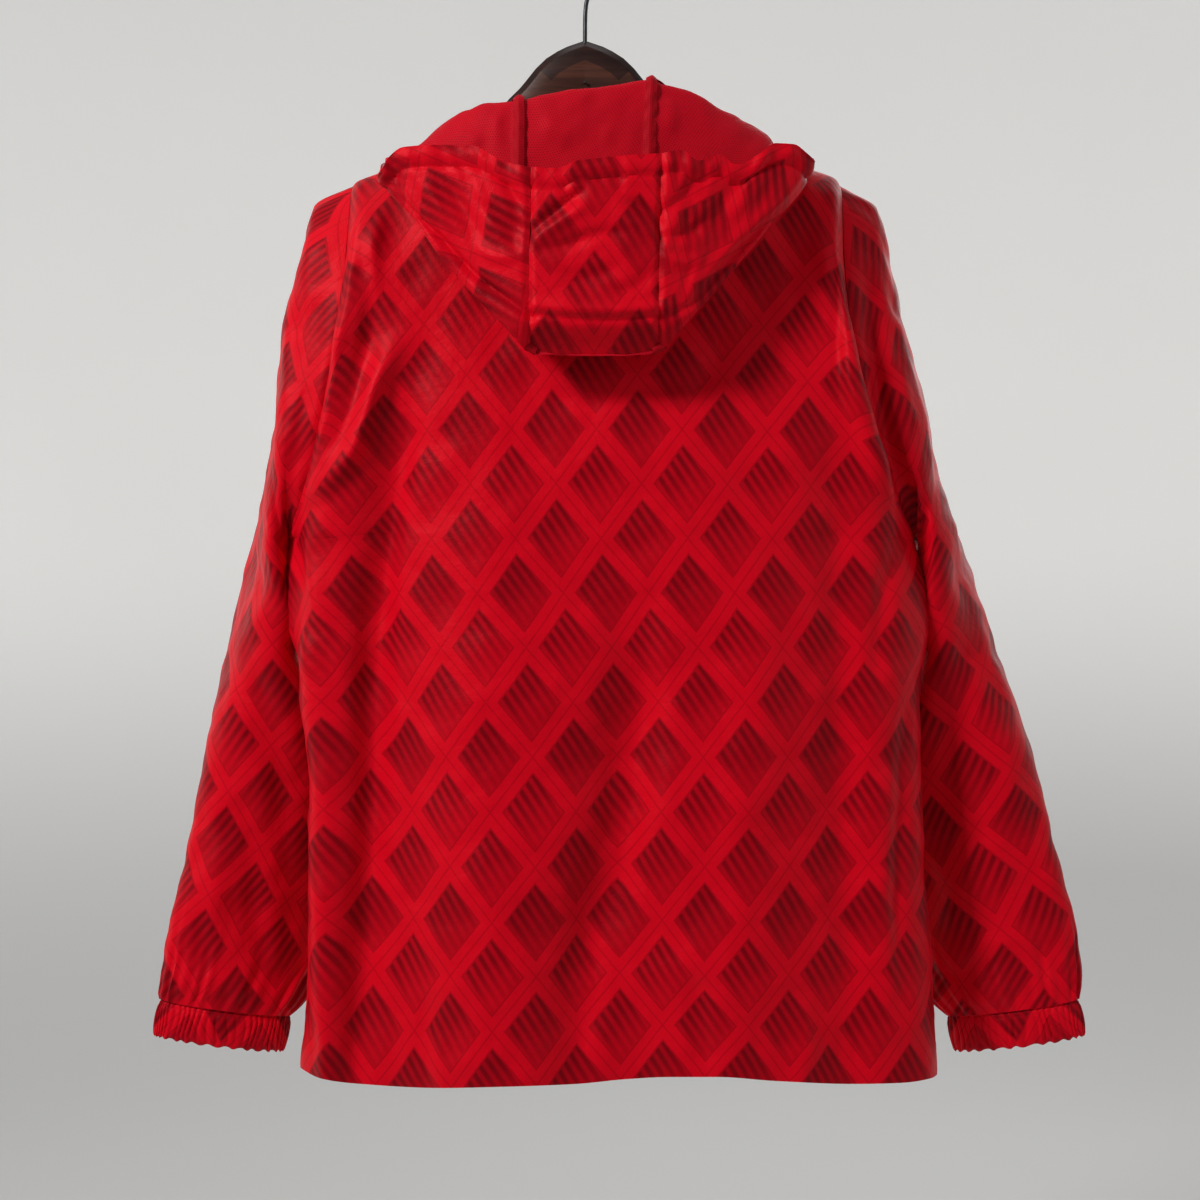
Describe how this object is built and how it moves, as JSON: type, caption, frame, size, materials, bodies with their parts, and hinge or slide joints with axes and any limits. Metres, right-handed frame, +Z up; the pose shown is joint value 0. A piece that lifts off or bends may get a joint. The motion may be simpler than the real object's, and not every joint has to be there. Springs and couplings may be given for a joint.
{
  "type": "hooded windbreaker on a wooden hanger",
  "caption": "Hooded windbreaker hanging on a contour wooden hanger, seen from its back: open hem, gathered cuffs, fallen-back lined hood and a closed front zip.",
  "frame": {"origin": "inner top of the hook's bend, where the hanger rests on a rail", "axes": "+Z up; +Y towards the garment's front with the zip; +X to the wearer's right, so the back faces -Y"},
  "size_m": [0.7386, 0.2326, 0.8743],
  "materials": {
    "shell_cloth": "smooth light plain-weave polyester, slight sheen",
    "mesh_lining": "matt knitted mesh",
    "lining_tape": "matt woven binding",
    "zip_tape": "matt woven tape",
    "zip_teeth": "moulded coil",
    "zip_metal": "satin cast metal",
    "dark_wood": "dark walnut stain, satin",
    "black_wire": "satin black"
  },
  "bodies": {
    "garment": {"back": "shell_cloth", "front_right": "shell_cloth", "front_left": "shell_cloth", "sleeve_right": "shell_cloth", "sleeve_left": "shell_cloth", "cuff_right": "shell_cloth", "cuff_left": "shell_cloth", "hood_centre": "shell_cloth", "hood_right": "shell_cloth", "hood_left": "shell_cloth", "hood_lining_centre": "mesh_lining", "hood_lining_right": "mesh_lining", "hood_lining_left": "mesh_lining", "hood_tape_right": "lining_tape", "hood_tape_left": "lining_tape", "zip_tape_right": "zip_tape", "zip_tape_left": "zip_tape", "zip_chain": "zip_teeth", "zip_slider": "zip_metal", "hanger_wood": "dark_wood", "hanger_hook": "black_wire"},
    "pull_tab": {"zip_pull": "zip_metal"}
  },
  "joints": [
    {"name": "pull_tab_swing", "type": "hinge", "parent": "garment", "child": "pull_tab", "pos_m": [0.00974, 0.11703, -0.15342], "axis": [1, 0, 0], "range_deg": [0, 170]}
  ]
}
